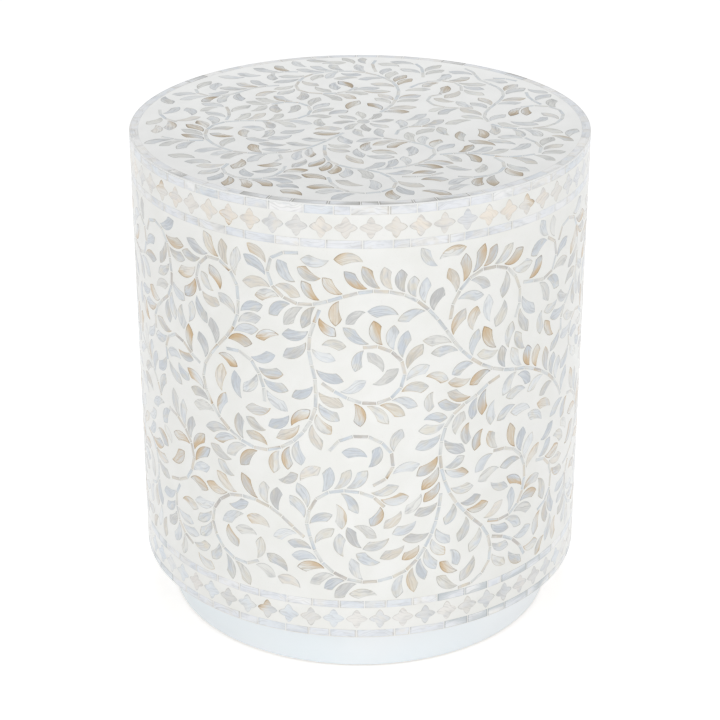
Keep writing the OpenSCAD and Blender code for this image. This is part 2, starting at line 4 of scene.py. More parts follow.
import bmesh
import bpy
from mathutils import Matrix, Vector


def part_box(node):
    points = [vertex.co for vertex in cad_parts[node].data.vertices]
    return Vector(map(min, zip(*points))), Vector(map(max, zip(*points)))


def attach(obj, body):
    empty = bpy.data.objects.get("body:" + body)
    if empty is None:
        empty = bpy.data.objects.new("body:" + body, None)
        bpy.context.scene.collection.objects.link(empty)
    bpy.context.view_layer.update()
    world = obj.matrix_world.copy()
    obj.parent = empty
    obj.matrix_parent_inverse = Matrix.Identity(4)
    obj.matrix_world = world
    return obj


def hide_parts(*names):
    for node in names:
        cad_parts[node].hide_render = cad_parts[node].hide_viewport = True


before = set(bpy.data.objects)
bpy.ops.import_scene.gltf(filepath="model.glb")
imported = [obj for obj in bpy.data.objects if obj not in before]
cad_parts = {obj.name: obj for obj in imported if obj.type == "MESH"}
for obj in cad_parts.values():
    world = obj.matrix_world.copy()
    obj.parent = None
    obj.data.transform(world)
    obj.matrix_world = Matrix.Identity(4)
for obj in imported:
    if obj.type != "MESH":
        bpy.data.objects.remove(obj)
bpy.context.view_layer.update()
scene = bpy.context.scene
MM = 0.001

# Camera
# It stands in front of the table and looks down on it as the photograph does. Its lens and
# place were fitted to the top's rim, the drum's sides and the plinth.
PHOTO_PX = 720
FOCAL_PX = 2112.7
SENSOR_MM = 36
EYE = Vector((0, -1.7709, 1.0520))
AIM = Vector((0, 0, 0.2191))
bpy.ops.object.camera_add(location=EYE, rotation=(AIM - EYE).to_track_quat("-Z", "Y").to_euler())
scene.camera = bpy.context.object
scene.camera.data.sensor_width = SENSOR_MM
scene.camera.data.lens = SENSOR_MM * FOCAL_PX / PHOTO_PX


# Studio
# A white room: a floor that keeps the table's shadow, an even sky, three large soft lamps in
# front, a small one low down for the drum's foot and one over the far side of the top.
# The background's white comes from what camera rays see, not from more light. Glossy rays see
# the floor's white too, but the sky only at its light level.
class Wire:
    """A socket of a finish; arithmetic on it adds Math nodes."""

    def __init__(self, finish, socket):
        self.finish = finish
        self.socket = socket

    def maths(self, operation, *values):
        inputs = dict(enumerate(values))
        return self.finish.node("ShaderNodeMath", {"operation": operation}, inputs)

    def __add__(self, other):
        return self.maths("ADD", self, other)

    def __radd__(self, other):
        return self.maths("ADD", other, self)

    def __sub__(self, other):
        return self.maths("SUBTRACT", self, other)

    def __rsub__(self, other):
        return self.maths("SUBTRACT", other, self)

    def __mul__(self, other):
        return self.maths("MULTIPLY", self, other)

    def __rmul__(self, other):
        return self.maths("MULTIPLY", other, self)

    def maximum(self, other):
        return self.maths("MAXIMUM", self, other)

    def fraction(self):
        """What is left of it above the whole number below."""
        return self.maths("FRACT", self)

    def step(self, low, high):
        """0 below low, 1 above high, and a smooth rise between them."""
        settings = {"interpolation_type": "SMOOTHSTEP"}
        inputs = {"Value": self, "From Min": low, "From Max": high}
        return self.finish.node("ShaderNodeMapRange", settings, inputs)


class Finish:
    """A material or a world, made node by node; constants are values of its main node's sockets."""

    def __init__(self, owner, main="Principled BSDF", constants=()):
        owner.use_nodes = True
        self.owner = owner
        self.tree = owner.node_tree
        self.main = self.tree.nodes[main]
        for socket, value in dict(constants).items():
            self.main.inputs[socket].default_value = value

    def feed(self, socket, value):
        """Links a wire to a socket, or sets the socket's own value."""
        if isinstance(value, Wire):
            self.tree.links.new(value.socket, socket)
        else:
            socket.default_value = value

    def node(self, kind, settings=(), inputs=(), output=0):
        """Adds a node: settings first, then its inputs. Returns the wire of one of its outputs."""
        made = self.tree.nodes.new(kind)
        for name, value in dict(settings).items():
            if name == "stops":
                ramp = made.color_ramp
                for place, tone in value[1:-1]:
                    ramp.elements.new(place).color = tone
                ramp.elements[0].position, ramp.elements[0].color = value[0]
                ramp.elements[-1].position, ramp.elements[-1].color = value[-1]
            else:
                setattr(made, name, value)
        for name, value in dict(inputs).items():
            self.feed(made.inputs[name], value)
        return Wire(self, made.outputs[output])

    def mix(self, factor, first, second):
        """Between two colours."""
        inputs = {0: factor, 6: first, 7: second}
        return self.node("ShaderNodeMix", {"data_type": "RGBA"}, inputs, output=2)

    def place(self):
        """Object coordinates."""
        return self.node("ShaderNodeTexCoord", output=3)

    def vector(self, x, y, z):
        return self.node("ShaderNodeCombineXYZ", (), {0: x, 1: y, 2: z})

    def attribute(self, name):
        """The three numbers of a vector attribute."""
        vector = self.node("ShaderNodeAttribute", {"attribute_name": name}, output=1)
        split = self.node("ShaderNodeSeparateXYZ", (), {0: vector})
        return [Wire(self, socket) for socket in split.socket.node.outputs]

    def noise(self, place, scale=1.0, detail=2.0, rough=0.5):
        inputs = {"Vector": place, "Scale": scale, "Detail": detail, "Roughness": rough}
        return self.node("ShaderNodeTexNoise", (), inputs)

    def surface(self, **sockets):
        """Feeds the main node: base_color=wire feeds Base Color."""
        for name, value in sockets.items():
            self.feed(self.main.inputs[name.replace("_", " ").title()], value)

    def bump(self, height, depth):
        inputs = {"Height": height, "Distance": depth, "Strength": 1.0}
        self.surface(normal=self.node("ShaderNodeBump", (), inputs))


def colour(red, green, blue):
    """A colour as it shows on a screen, 0 to 255, made linear."""
    shown = [level / 255 for level in (red, green, blue)]
    return [s / 12.92 if s <= 0.04045 else ((s + 0.055) / 1.055) ** 2.4 for s in shown] + [1]


CAMERA_RAY = 0
GLOSSY_RAY = 3
TRANSMISSION_RAY = 6
WHITE = (1, 1, 1, 1)
FLOOR_SIZE = 8
SKY_LIGHT = 0.57
FLOOR_COLOUR = colour(248, 249, 250)
FLOOR_GLOW = 0.45
bpy.ops.mesh.primitive_plane_add(size=FLOOR_SIZE, location=(0, 0, 0))
floor = bpy.context.object
floor.name = "floor"
matt = {"Base Color": FLOOR_COLOUR, "Roughness": 0.9}
floor_finish = Finish(bpy.data.materials.new("floor"), constants=matt)
to_camera = floor_finish.node("ShaderNodeLightPath", output=CAMERA_RAY)
to_gloss = floor_finish.node("ShaderNodeLightPath", output=GLOSSY_RAY)
floor_finish.surface(emission_color=WHITE, emission_strength=to_camera.maximum(to_gloss) * FLOOR_GLOW)
floor.data.materials.append(floor_finish.owner)

sky = Finish(bpy.data.worlds.new("sky"), main="Background", constants={"Color": WHITE})
scene.world = sky.owner
to_camera = sky.node("ShaderNodeLightPath", output=CAMERA_RAY)
to_glass = sky.node("ShaderNodeLightPath", output=TRANSMISSION_RAY)
sky.surface(strength=SKY_LIGHT + to_camera.maximum(to_glass) * (1 - SKY_LIGHT))

LAMPS = [
    # place, width, power in watts
    ((-1.9, -1.9, 1.2), 1.8, 13.4),
    ((2.1, -1.7, 1.1), 1.8, 14),
    ((0.1, -3.0, 0.25), 1.6, 10.6),
    ((-0.06, -0.5, 0.03), 0.3, 0.11),
    ((0.0, 0.7, 1.4), 1.1, 4.9),
]
for place, width, power in LAMPS:
    aim = (AIM - Vector(place)).to_track_quat("-Z", "Y").to_euler()
    bpy.ops.object.light_add(type="AREA", location=place, rotation=aim)
    lamp = bpy.context.object
    lamp.data.size = width
    lamp.data.energy = power
scene.view_settings.view_transform = "Standard"


# Resin on the drum's side
# A coat of cast off-white resin round the bent wall, ground smooth and polished. The shell
# chips are bedded in it, and the softer resin wears SUNK below their faces, which can't be
# felt; its foot has a small worn round.
DRUM_R = round(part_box("upper_edge_strips")[1].x, 4)
WALL_R = round(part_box("drum_wall")[1].x, 4)
TABLE_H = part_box("top_resin")[1].z
FOOT_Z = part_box("foot_bead")[0].z
RIM_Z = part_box("top_resin")[0].z
SUNK = 0.06 * MM
FOOT_ROUND = 0.7 * MM
RIM_ROUND = 0.6 * MM
TURNS = 288
ARC_STEPS = 6
WELD = 1e-6
CREASE = math.radians(30)
FILLER = colour(226, 225, 219)


def quarter(r, z, radius, start):
    """Points of a quarter round about (r, z), from the angle start in degrees."""
    return [(r + radius * math.cos(math.radians(start + 90 * i / ARC_STEPS)),
             z + radius * math.sin(math.radians(start + 90 * i / ARC_STEPS)))
            for i in range(ARC_STEPS + 1)]


def turned(name, outline):
    """A piece spun from a closed outline of (radius, height) points about the drum's axis."""
    bpy.ops.object.select_all(action="DESELECT")
    mesh = bpy.data.meshes.new(name)
    points = [(r, 0, z) for r, z in outline]
    mesh.from_pydata(points, [(i, (i + 1) % len(points)) for i in range(len(points))], [])
    piece = bpy.data.objects.new(name, mesh)
    scene.collection.objects.link(piece)
    bpy.context.view_layer.objects.active = piece
    piece.select_set(True)
    bpy.ops.object.mode_set(mode="EDIT")
    bpy.ops.mesh.select_all(action="SELECT")
    bpy.ops.mesh.spin(steps=TURNS, angle=2 * math.pi, center=(0, 0, 0), axis=(0, 0, 1))
    bpy.ops.mesh.select_all(action="SELECT")
    bpy.ops.mesh.remove_doubles(threshold=WELD)
    bpy.ops.mesh.normals_make_consistent(inside=False)
    bpy.ops.object.mode_set(mode="OBJECT")
    bpy.ops.object.shade_smooth_by_angle(angle=CREASE)
    return piece


def dress(piece, finish, slot, *nodes):
    """Gives a new piece its finish and ties it to the frame."""
    piece.data.materials.clear()
    piece.data.materials.append(finish.owner)
    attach(piece, "root")
    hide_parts(*nodes)


def cast_resin(name, dull, pale):
    """Off-white resin between two colours, with faint clouds where the filler settled, polished."""
    polish = {"Specular IOR Level": 0.35, "Coat Weight": 0.15, "Coat Roughness": 0.12}
    finish = Finish(bpy.data.materials.new(name), constants=polish)
    place = finish.place()
    clouds = finish.noise(place, scale=38, detail=3)
    specks = finish.noise(place, scale=900, detail=1)
    base = finish.mix(clouds.step(0.3, 0.7), colour(*dull), colour(*pale))
    base = finish.mix(specks.step(0.62, 0.8) * 0.35, base, FILLER)
    finish.surface(base_color=base, roughness=0.34 + clouds * 0.1)
    finish.bump(finish.noise(place, scale=260, detail=2), 0.01 * MM)
    return finish


skin_r = DRUM_R - SUNK
side_resin = turned("side_resin", [
    (WALL_R, RIM_Z), (WALL_R, FOOT_Z),
    *quarter(skin_r - FOOT_ROUND, FOOT_Z + FOOT_ROUND, FOOT_ROUND, -90),
    (skin_r, RIM_Z)])
resin = cast_resin("resin", (241, 241, 237), (245, 245, 242))
dress(side_resin, resin, "resin", "side_ground", "foot_bead")

# Resin on the top
# A slab of the same resin, cast over the panel and out to the drum's face; its colours are a
# little less yellow than the side's, a painted reflection of the sky's sheen. Polishing left a
# small round along its outer edge.
top_level = TABLE_H - SUNK
panel_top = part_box("top_panel")[1].z
top_slab = turned("top_slab", [
    (0, panel_top), (WALL_R, panel_top), (WALL_R, RIM_Z), (DRUM_R, RIM_Z),
    *quarter(DRUM_R - RIM_ROUND, TABLE_H - RIM_ROUND, RIM_ROUND, 0)[:-1],
    (DRUM_R - 1.2 * RIM_ROUND, top_level), (0, top_level)])
# painted reflection: the top's resin is tinted a little less yellow than the side's
dress(top_slab, cast_resin("top_resin", (242, 243, 242), (246, 247, 246)), "resin", "top_resin")

# Shell chips
# Each chip of mother-of-pearl is sawn to its outline, bedded in the resin and ground flush.
# Chips differ in tone, in the run of their growth lines and in how brown their edges are.
FACING = 0.8  # a triangle that looks out this much is part of a chip's face
CHIP_CUT = 6 * MM  # how far apart a chip of the side is cut across, to bend it
CUT_SNAP = 1e-7
RIM_SHARE = 0.2  # the rim band's share of the way to a chip's middle
GRAIN_UNIT = 10 * MM  # the length that counts as 1 in the grain
NEAR = 9 * MM  # a chip this near a listed place is of brown shell
FRONT_EDGE = -195 * MM
FRONT_SHADE_DEPTH = 110 * MM  # how deep the painted shade on the chips reaches in from the top's front
FRONT_SHADE_SHARE = 0.35  # how much of a chip's tone the painted shade at the front decides there
REPEAT = 2 * math.pi * DRUM_R / 3  # the side's pattern comes three times round the drum
SEAT_R = round(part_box("side_ground")[1].x, 4)
UP = Vector((0, 0, 1))


def outlines(node, on_side):
    """Each chip's outline in a CAD node: its corners in turn, and which way its face looks."""
    bm = bmesh.new()
    bm.from_mesh(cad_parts[node].data)
    bmesh.ops.remove_doubles(bm, verts=bm.verts, dist=WELD)
    bm.normal_update()
    hidden = []
    for face in bm.faces:
        middle = face.calc_center_median()
        out = Vector((middle.x, middle.y, 0)).normalized() if on_side else UP
        if face.normal.dot(out) < FACING:
            hidden.append(face)
    bmesh.ops.delete(bm, geom=hidden, context="FACES")
    onward = {}
    for edge in bm.edges:
        if edge.is_boundary:
            corner = edge.link_loops[0]
            onward[corner.vert] = (corner.link_loop_next.vert, corner.face.normal.copy())
    rings = []
    while onward:
        vertex = next(iter(onward))
        ring = []
        while vertex in onward:
            ring.append(vertex.co.copy())
            vertex, way = onward.pop(vertex)
        rings.append((ring, way))
    bm.free()
    return rings


def unroll(ring, way, arched):
    """Corners of a chip of the drum's side on a flat sheet: round the drum, and up."""
    turn = math.atan2(way.y, way.x)
    out = Vector((math.cos(turn), math.sin(turn), 0))
    along = Vector((-out.y, out.x, 0))
    sheet = []
    for corner in ring:
        shift = corner.dot(along)
        angle = math.atan2(shift, corner.dot(out)) if arched else shift / SEAT_R
        sheet.append(Vector(((turn + angle) * DRUM_R, corner.z)))
    return sheet


def flat_chip(corners, centre, cut):
    """The chip's face with a rim band; z is 1 at the rim and 0 inside. It is cut across for bending."""
    bm = bmesh.new()
    rim = [bm.verts.new((c.x, c.y, 1)) for c in corners]
    inner = [bm.verts.new((*(c + (centre - c) * RIM_SHARE), 0)) for c in corners]
    for i in range(len(rim)):
        bm.faces.new((rim[i - 1], rim[i], inner[i], inner[i - 1]))
    bm.faces.new(inner)
    if cut:
        first = math.floor(min(c.x for c in corners) / CHIP_CUT) + 1
        last = math.floor(max(c.x for c in corners) / CHIP_CUT)
        for number in range(first, last + 1):
            bmesh.ops.bisect_plane(bm, geom=bm.verts[:] + bm.edges[:] + bm.faces[:], dist=CUT_SNAP,
                                   plane_co=(number * CHIP_CUT, 0, 0), plane_no=(1, 0, 0))
    bm.verts.index_update()
    places = [v.co.copy() for v in bm.verts]
    faces = [[v.index for v in f.verts] for f in bm.faces]
    edge_ways = [(e.link_loops[0].vert.index, e.link_loops[0].link_loop_next.vert.index)
                 for e in bm.edges if e.is_boundary]
    bm.free()
    return places, faces, edge_ways


def main_way(corners, centre):
    """The direction of a chip's length, from its point to its broad end."""
    xx = sum((c.x - centre.x) ** 2 for c in corners)
    yy = sum((c.y - centre.y) ** 2 for c in corners)
    xy = sum((c.x - centre.x) * (c.y - centre.y) for c in corners)
    lean = 0.5 * math.atan2(2 * xy, xx - yy)
    way = Vector((math.cos(lean), math.sin(lean)))
    reach = [(c - centre).dot(way) for c in corners]
    return -way if max(reach) > -min(reach) else way


def area_centre(corners):
    """The middle of an outline's area."""
    whole = across = up = 0
    for a, b in zip(corners, corners[1:] + corners[:1]):
        part = a.x * b.y - b.x * a.y
        whole += part
        across += part * (a.x + b.x)
        up += part * (a.y + b.y)
    return Vector((across, up)) / (3 * whole)


def sheet_place(centre, on_side):
    """A chip's place on its sheet: on the side, the way round from the middle of a repeat, and up."""
    if not on_side:
        return centre
    way_round = centre.x + math.pi / 2 * DRUM_R
    return Vector(((way_round + REPEAT / 2) % REPEAT - REPEAT / 2, centre.y))


def chips(node, name, bend=None, browns=(), file_down=None, painted_front_shade=False):
    """New chips on the outlines of a CAD node's chips.

    bend is None on the top; on the side it says whether the node's own chips are flat or arched.
    browns holds places in mm on the sheet; a chip near one of them is of brown shell.
    file_down moves a chip's corners where it was filed by hand. The last argument, when true,
    darkens the chips' tones towards the front of the top: painted shade."""
    picker = random.Random(node)
    points, faces, grain, spot, rims = [], [], [], [], []
    for ring, way in outlines(node, bend is not None):
        corners = unroll(ring, way, bend == "arched") if bend else [c.xy for c in ring]
        # measured from near by, so that small chips far from the zero keep their accuracy
        base = corners[0].copy()
        centre = area_centre([c - base for c in corners]) + base
        if file_down:
            corners = file_down(corners, centre, picker)
        length_way = main_way(corners, centre)
        width_way = Vector((-length_way.y, length_way.x))
        long = max(abs((c - centre).dot(length_way)) for c in corners)
        wide = max(abs((c - centre).dot(width_way)) for c in corners)
        tone, age = picker.random(), picker.random()
        # painted shade: the nearer a chip lies to the top's front, the darker its tone
        if painted_front_shade:
            from_front = min(1, max(0, (centre.y - FRONT_EDGE) / FRONT_SHADE_DEPTH))
            tone = (1 - FRONT_SHADE_SHARE) * tone + FRONT_SHADE_SHARE * from_front
        spot_on_sheet = sheet_place(centre, bend is not None)
        if any((spot_on_sheet - Vector(place) * MM).length < NEAR for place in browns):
            age += 1
        places, caps, edge_ways = flat_chip(corners, centre, bend is not None)
        start, count = len(points), len(places)
        for level in (0, 1):
            for place in places:
                u = (place.xy - centre).dot(length_way)
                v = (place.xy - centre).dot(width_way)
                grain.extend((u / GRAIN_UNIT, v / GRAIN_UNIT, tone))
                spot.extend((u / long, v / wide, age))
                rims.append(place.z)
                if bend:
                    radius = SEAT_R if level else DRUM_R
                    angle = place.x / DRUM_R
                    points.append((radius * math.cos(angle), radius * math.sin(angle), place.y))
                else:
                    points.append((place.x, place.y, RIM_Z if level else TABLE_H))
        for cap in caps:
            faces.append([start + i for i in cap])
            faces.append([start + count + i for i in reversed(cap)])
        for a, b in edge_ways:
            faces.append((start + b, start + a, start + count + a, start + count + b))
    mesh = bpy.data.meshes.new(name)
    mesh.from_pydata(points, [], faces)
    mesh.attributes.new("grain", "FLOAT_VECTOR", "POINT").data.foreach_set("vector", grain)
    mesh.attributes.new("spot", "FLOAT_VECTOR", "POINT").data.foreach_set("vector", spot)
    mesh.attributes.new("rim", "FLOAT", "POINT").data.foreach_set("value", rims)
    piece = bpy.data.objects.new(name, mesh)
    scene.collection.objects.link(piece)
    bpy.ops.object.select_all(action="DESELECT")
    bpy.context.view_layer.objects.active = piece
    piece.select_set(True)
    bpy.ops.object.shade_smooth_by_angle(angle=CREASE)
    return piece


SIDE_FIGURE = [(184, 186, 187), (174, 173, 171), (160, 159, 158)]
# the top's figure colours are darker than the side's: painted shade on the top
TOP_SHADED_FIGURE = [(170, 173, 175), (156, 156, 155), (130, 129, 127)]
SIDE_GOLD = [(212, 189, 154), (200, 164, 114), (130, 106, 80)]
# the top's brown colours are darker than the side's too: painted shade on the top
TOP_SHADED_GOLD = [(190, 173, 146), (162, 140, 106), (88, 75, 58)]
WARM_GROWTH = colour(223, 214, 192)
COOL_GROWTH = colour(203, 210, 219)
PALE_CLOUD = colour(236, 237, 234)
PALE_LINE = colour(238, 238, 235)
HONEY_EDGE = colour(200, 180, 144)


def shell(name, tones, brown_share=0.2, depth=1.0, warm=0.8, figure=SIDE_FIGURE, gold=SIDE_GOLD,
          strong=0.6):
    """Polished shell: tones is a ramp over the chips, brown_share how many have brown growth.

    depth is how strong the figure is and warm its warm part. figure has the dark colours of its
    clouds, lines and edges, gold the colours of the brown chips' growth, middle and lines, and
    strong how brown these are."""
    finish = Finish(bpy.data.materials.new(name), constants={"Coat Weight": 0.3, "Coat Roughness": 0.1})
    run, across, tone = finish.attribute("grain")
    ahead, aside, age = finish.attribute("spot")
    rim = finish.node("ShaderNodeAttribute", {"attribute_name": "rim"}, output=2)
    stops = [(i / (len(tones) - 1), colour(*t)) for i, t in enumerate(tones)]
    base = finish.node("ShaderNodeValToRGB", {"stops": stops}, {0: tone})
    # three numbers from -0.5 to 0.5 that each chip has for itself
    luck = [(seed * size).fraction() - 0.5 for seed, size in ((age, 7.31), (tone, 5.77), (age, 23.9))]
    bent = across + run * run * luck[2] * 0.5
    wave = finish.noise(finish.vector(run * 0.9, bent * 1.6, tone * 40), detail=1)
    lines = finish.noise(finish.vector(run * 0.6 + wave * 1.4, bent * 9 + wave * 5, tone * 60), detail=3)
    clouds = finish.noise(finish.vector(run * 1.3, bent * 1.9, age * 50), detail=2)
    hues = finish.noise(finish.vector(run * 1.1, bent * 1.5, age * 31 + 5), detail=1)
    drift = ahead * luck[0] + aside * luck[1] + (clouds - 0.5) * 1.4
    # warm and cool growth drifts over each chip
    warmth = (hues + luck[0] * 0.3).step(0.5, 0.75) * 0.5 * depth * warm
    base = finish.mix(warmth, base, WARM_GROWTH)
    coolness = (0 - hues - luck[1] * 0.3).step(-0.5, -0.25) * 0.5 * depth
    base = finish.mix(coolness, base, COOL_GROWTH)
    base = finish.mix(drift.step(0.0, 0.7) * 0.55 * depth, base, PALE_CLOUD)
    base = finish.mix((0 - drift).step(0.0, 0.7) * 0.6 * depth, base, colour(*figure[0]))
    base = finish.mix(lines.step(0.5, 0.68) * 0.45 * depth, base, colour(*figure[1]))
    base = finish.mix((1 - lines).step(0.52, 0.7) * 0.5 * depth, base, PALE_LINE)
    # the sawn edge shows as a thin darker line, more on one side
    edge = rim.step(0.3, 0.85)
    shade = (0.26 + drift * 0.7).maximum(0.04)
    base = finish.mix(edge * shade * depth, base, colour(*figure[2]))
    # brown growth at one end or along one edge
    brown = age.step(1 - brown_share, 1 - 0.7 * brown_share)
    side = ahead * luck[1] * 1.7 - aside * luck[0] * 1.7 + (lines - 0.5) * 1.2 + edge * 0.3
    base = finish.mix(brown * side.step(0.0, 0.55) * 0.7, base, colour(*gold[0]))
    base = finish.mix(brown * side.step(0.5, 0.95) * 0.65, base, colour(*gold[2]))
    tint = age.step(0.3, 0.5) * edge * (side + 0.3).step(0.2, 0.7)
    base = finish.mix(tint * 0.4 * depth * warm, base, HONEY_EDGE)
    # the chips of brown shell: nearly brown all over, with fine dark growth lines and edges
    golden = age.step(0.98, 1.0) * (0.8 + luck[2] * 0.5)
    base = finish.mix(golden * (side + 0.4).step(0.0, 0.6) * strong, base, colour(*gold[0]))
    base = finish.mix(golden * (side + clouds - 0.5).step(0.05, 0.6) * strong, base, colour(*gold[1]))
    dark = (lines * 0.7 + edge * 0.5).step(0.5, 0.8)
    base = finish.mix(golden * dark * strong, base, colour(*gold[2]))
    finish.surface(base_color=base, roughness=0.24 + lines * 0.16)
    finish.bump(lines * 0.5 - rim.step(0.8, 1.0), 0.012 * MM)
    return finish


BLUE_TONES = [(196, 202, 209), (209, 215, 221), (221, 225, 228), (236, 239, 240)]
GREY_TONES = [(190, 190, 190), (209, 209, 207), (223, 222, 217), (236, 236, 232)]
TAN_TONES = [(206, 198, 185), (217, 210, 198), (227, 221, 210), (236, 231, 222)]
STEM_TONES = [(208, 216, 224), (218, 224, 228), (226, 227, 224), (221, 212, 198), (194, 188, 183)]
STRIP_TONES = [(230, 236, 242), (236, 239, 244), (241, 243, 246), (249, 249, 248)]
GREY_STRIPS = [(208, 213, 216), (196, 202, 206), (162, 167, 170)]
blue_shell = shell("blue_shell", BLUE_TONES, brown_share=0.06)
grey_shell = shell("grey_shell", GREY_TONES)
tan_shell = shell("tan_shell", TAN_TONES, brown_share=0.7)
stem_shell = shell("stem_shell", STEM_TONES, brown_share=0.04, depth=0.9)
strip_shell = shell("strip_shell", STRIP_TONES, brown_share=0.03, depth=0.65, gold=GREY_STRIPS)

# Leaf chips of the side
# Sorted as they were laid: blue, grey and tan leaves along the vines, with brown ones here and
# there. The list gives the brown ones' places, round from the middle and up, in mm.
SIDE_BROWNS = [
    (-157, 401), (-184, 386), (-147, 327), (-120, 332), (-165, 308), (-155, 350), (-106, 327), (-76, 325),
    (-118, 372), (-135, 377), (-157, 277), (-115, 299), (-189, 302), (-150, 202), (-154, 217), (-180, 215),
    (-133, 173), (-176, 181), (-160, 167), (-97, 183), (-99, 162), (-100, 214), (-195, 237), (-140, 115),
    (-170, 96), (-205, 106), (-47, 373), (-25, 378), (-9, 384), (-28, 350), (14, 338), (-50, 293),
    (-48, 256), (5, 261), (-65, 214), (2, 180), (17, 167),
    (-7, 133), (-37, 115), (60, 212), (63, 190), (48, 133), (89, 392), (107, 397), (117, 324), (104, 286),
    (136, 385), (163, 288), (192, 310), (175, 304), (170, 365), (139, 223), (182, 212), (107, 158),
    (172, 132), (200, 180), (148, 174), (102, 232), (85, 132), (76, 115), (113, 112)]
for shade, finish in (("blue", blue_shell), ("grey", grey_shell), ("tan", tan_shell)):
    node = "side_leaves_" + shade
    dress(chips(node, shade + "_leaf_chips", "flat", SIDE_BROWNS), finish, "shell_" + shade, node)

# Stem chips of the side
# Short bars sawn across the growth and laid end to end along the vines, with a hair of resin
# between them.
dress(chips("side_stems", "stem_chips", "flat"), stem_shell, "shell_blue", "side_stems")

# Borders of the side
# Rows of long strips, and between them star chips: the upper ones warm, the lower ones cooler.
# In the lower rows some strips to the right were cut from a darker shell. DARK_WAYS has their
# places round the drum in mm from the middle.
DARK_WAYS = {"lower_edge_strips": range(85, 206, 12), "lower_inner_strips": range(85, 206, 30)}
for node in ("upper_edge_strips", "upper_inner_strips", "lower_inner_strips", "lower_edge_strips"):
    middle = (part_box(node)[0].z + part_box(node)[1].z) / 2 / MM
    strips = chips(node, node + "_flush", "arched", [(way, middle) for way in DARK_WAYS.get(node, ())])
    dress(strips, strip_shell, "shell_blue", node)

STAR_POINTS = 4
NICK_DEPTHS = (0.07, 0.18)


def filed_star(corners, centre, picker):
    """A star's corners with the nicks between its points cut deeper, no two quite alike."""
    filed = []
    nicks = [picker.uniform(*NICK_DEPTHS) for nick in range(STAR_POINTS)]
    for corner in corners:
        arm = corner - centre
        turn = math.atan2(arm.y, arm.x) % (2 * math.pi)
        nick = nicks[int(turn / (math.pi / 2)) % STAR_POINTS]
        filed.append(centre + arm * (1 - nick * math.sin(2 * turn) ** 2))
    return filed


WARM_STARS = [(226, 229, 234), (234, 232, 228), (246, 237, 224), (230, 229, 226), (243, 233, 220)]
COOL_STARS = [(214, 222, 231), (231, 236, 240), (241, 238, 233), (221, 222, 222), (236, 231, 225)]
for node, tones, brown_share in (("upper_stars", WARM_STARS, 0.3), ("lower_stars", COOL_STARS, 0.1)):
    star_shell = shell(node + "_shell", tones, brown_share, depth=0.7, warm=0.5)
    stars = chips(node, node + "_flush", "flat", file_down=filed_star)
    dress(stars, star_shell, "shell_grey", node)

# Chips of the top
# The same chips laid flat, in cooler tones, and darker in tone, figure and browns than the
# side's: the darkness is painted shade on the top. The list gives the places of the brown ones in
# mm, to the right of the middle and away from the front.
TOP_BROWNS = [
    (-50, -119), (-31, -135), (-28, -106), (-17, -122), (93, -92), (131, -130), (115, -145), (5, -183),
    (22, -178), (-96, -66), (-74, -113), (-105, -112), (-122, -25), (-142, -12), (111, -55), (103, -27),
    (143, 27), (30, 27), (70, 90), (128, 107), (-84, 160), (-36, 168), (-32, -38), (38, -62), (90, -72),
    (-140, -62), (-48, -172), (-30, -154), (57, -152), (-141, 68), (-178, 45), (-188, 18), (175, -12),
    (37, 126), (12, 44), (187, 25), (-12, 44), (50, -120), (-12, 108), (-100, -150), (-80, -155),
    (-38, -135), (14, -140), (62, -165), (98, -152), (115, -150), (-62, -170), (5, -165)]
TOP_STEM_TONES = [(208, 217, 224), (215, 222, 227), (222, 227, 229), (228, 228, 224), (212, 207, 198)]
# the top's leaf tones are darker than the side's: painted shade on the top
TOP_SHADED_BLUE_TONES = [(186, 191, 195), (205, 210, 214), (218, 222, 225), (228, 232, 234)]
TOP_SHADED_GREY_TONES = [(182, 183, 182), (205, 206, 204), (220, 221, 217), (230, 231, 227)]
TOP_SHADED_TAN_TONES = [(186, 183, 177), (209, 206, 199), (223, 221, 215), (232, 229, 223)]
TOP_SHADED_LOOK = {"depth": 1.1, "figure": TOP_SHADED_FIGURE, "gold": TOP_SHADED_GOLD, "strong": 0.9}
shaded_top_blue = shell("shaded_top_blue_shell", TOP_SHADED_BLUE_TONES, brown_share=0.05, warm=0.2, **TOP_SHADED_LOOK)
shaded_top_grey = shell("shaded_top_grey_shell", TOP_SHADED_GREY_TONES, brown_share=0.1, warm=0.2, **TOP_SHADED_LOOK)
shaded_top_tan = shell("shaded_top_tan_shell", TOP_SHADED_TAN_TONES, brown_share=0.4, warm=0.4, **TOP_SHADED_LOOK)
top_stem = shell("top_stem_shell", TOP_STEM_TONES, brown_share=0.03, depth=0.8, warm=0.3, figure=TOP_SHADED_FIGURE)
for shade, finish in (("blue", shaded_top_blue), ("grey", shaded_top_grey), ("tan", shaded_top_tan)):
    node = "top_leaves_" + shade
    leaves = chips(node, "top_" + shade + "_chips", browns=TOP_BROWNS, painted_front_shade=True)
    dress(leaves, finish, "shell_" + shade, node)
dress(chips("top_rosette", "rosette_chips"), shaded_top_grey, "shell_grey", "top_rosette")
dress(chips("top_stems", "top_stem_chips"), top_stem, "shell_blue", "top_stems")

# Border of the top
# Strips laid end to end round the rim. Those at the front are darker as painted shade of the
# top's front edge, and a few others were cut from a darker shell; the angles of both from the
# front, in radians, are listed below.
BORDER_MM = 197
# darker border strips: those at the front are painted shade, the few others darker shell
DARK_AND_SHADED_SHELL = [(192, 193, 192), (176, 176, 173), (140, 138, 132)]
DARK_AND_SHADED_TURNS = [step / 14 for step in range(-6, 7)] + [-2.3, -2.25, -0.9, -0.85, 2.3, 2.35, 2.62, 2.67]
DARK_AND_SHADED_TILES = [(BORDER_MM * math.sin(turn), -BORDER_MM * math.cos(turn)) for turn in DARK_AND_SHADED_TURNS]
border_shell = shell("border_shell", STRIP_TONES, brown_share=0.03, depth=0.65, gold=DARK_AND_SHADED_SHELL, strong=0.8)
dress(chips("top_border", "top_border_flush", browns=DARK_AND_SHADED_TILES), border_shell, "shell_blue", "top_border")

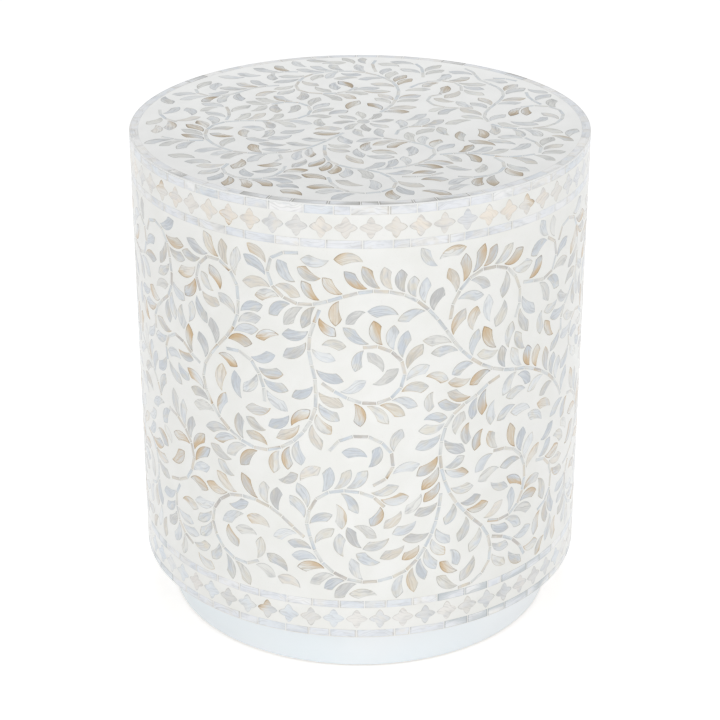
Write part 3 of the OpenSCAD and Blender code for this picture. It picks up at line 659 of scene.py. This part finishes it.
# Plinth sleeve
# A rolled band of sheet metal round the plinth, sprayed with a pale satin lacquer; its cut
# edges are eased, and the spray leaves a very fine orange peel.
SLEEVE_R = round(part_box("plinth_sleeve")[1].x, 4)
RING_R = round(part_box("plinth_ring")[1].x, 4)
SLEEVE_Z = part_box("plinth_sleeve")[0].z
SLEEVE_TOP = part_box("plinth_sleeve")[1].z
EASED = 0.35 * MM
sleeve = turned("metal_sleeve", [
    (RING_R, SLEEVE_TOP), (RING_R, SLEEVE_Z),
    *quarter(SLEEVE_R - EASED, SLEEVE_Z + EASED, EASED, -90),
    *quarter(SLEEVE_R - EASED, SLEEVE_TOP - EASED, EASED, 0)])
lacquer = Finish(bpy.data.materials.new("satin_lacquer"),
                 constants={"Metallic": 0.35, "Coat Weight": 0.2, "Coat Roughness": 0.18})
place = lacquer.place()
drift = lacquer.noise(place, scale=9, detail=2)
coat = lacquer.mix(drift.step(0.3, 0.7), colour(237, 245, 250), colour(242, 247, 251))
lacquer.surface(base_color=coat, roughness=0.3 + drift * 0.1)
lacquer.bump(lacquer.noise(place, scale=700, detail=2), 0.006 * MM)
dress(sleeve, lacquer, "lacquered_metal", "plinth_sleeve")


# Inner frame
# Panels of raw fibreboard, bent plywood with its plies showing on the edges, planed posts
# and blocks, zinc plated screws and nylon glides. What shows of them shows only from below.
def coat_nodes(finish, *nodes):
    """Gives CAD nodes that stay as they are their finish."""
    for node in nodes:
        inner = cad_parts[node]
        inner.data.materials.clear()
        inner.data.materials.append(finish.owner)


def timber(name, light, dark, stretch, scale):
    """Raw wood; its fibres run along the axes whose numbers in stretch are small."""
    finish = Finish(bpy.data.materials.new(name), constants={"Specular IOR Level": 0.3})
    place = finish.place()
    drawn = finish.node("ShaderNodeVectorMath", {"operation": "MULTIPLY"}, {0: place, 1: stretch})
    fibres = finish.noise(drawn, scale=scale, detail=4, rough=0.6)
    pores = finish.noise(drawn, scale=scale * 6, detail=2)
    base = finish.mix(fibres.step(0.3, 0.7), colour(*light), colour(*dark))
    finish.surface(base_color=base, roughness=0.7 + pores * 0.2)
    finish.bump(pores, 0.05 * MM)
    return finish


coat_nodes(timber("fibreboard", (196, 168, 130), (176, 146, 108), (1, 1, 1), 300), "top_panel", "base_panel")
coat_nodes(timber("plywood", (222, 196, 156), (190, 156, 112), (0.4, 0.4, 9), 90),
           "drum_wall", "upper_hoop", "middle_hoop", "plinth_ring")
coat_nodes(timber("pine", (228, 202, 158), (206, 170, 120), (9, 9, 0.5), 24), "posts", "plinth_blocks")

zinc = Finish(bpy.data.materials.new("zinc"), constants={"Metallic": 1.0})
place = zinc.place()
crystals = zinc.noise(place, scale=900, detail=2)
plating = zinc.mix(crystals, colour(176, 178, 182), colour(206, 208, 212))
zinc.surface(base_color=plating, roughness=0.28 + crystals * 0.2)
coat_nodes(zinc, "top_screws", "base_screws", "plinth_screws")

nylon = Finish(bpy.data.materials.new("nylon"))
place = nylon.place()
scuffs = nylon.noise(place, scale=400, detail=3)
worn = nylon.mix(scuffs.step(0.4, 0.8), colour(226, 225, 220), colour(205, 203, 196))
nylon.surface(base_color=worn, roughness=0.45 + scuffs * 0.2)
coat_nodes(nylon, "glides")
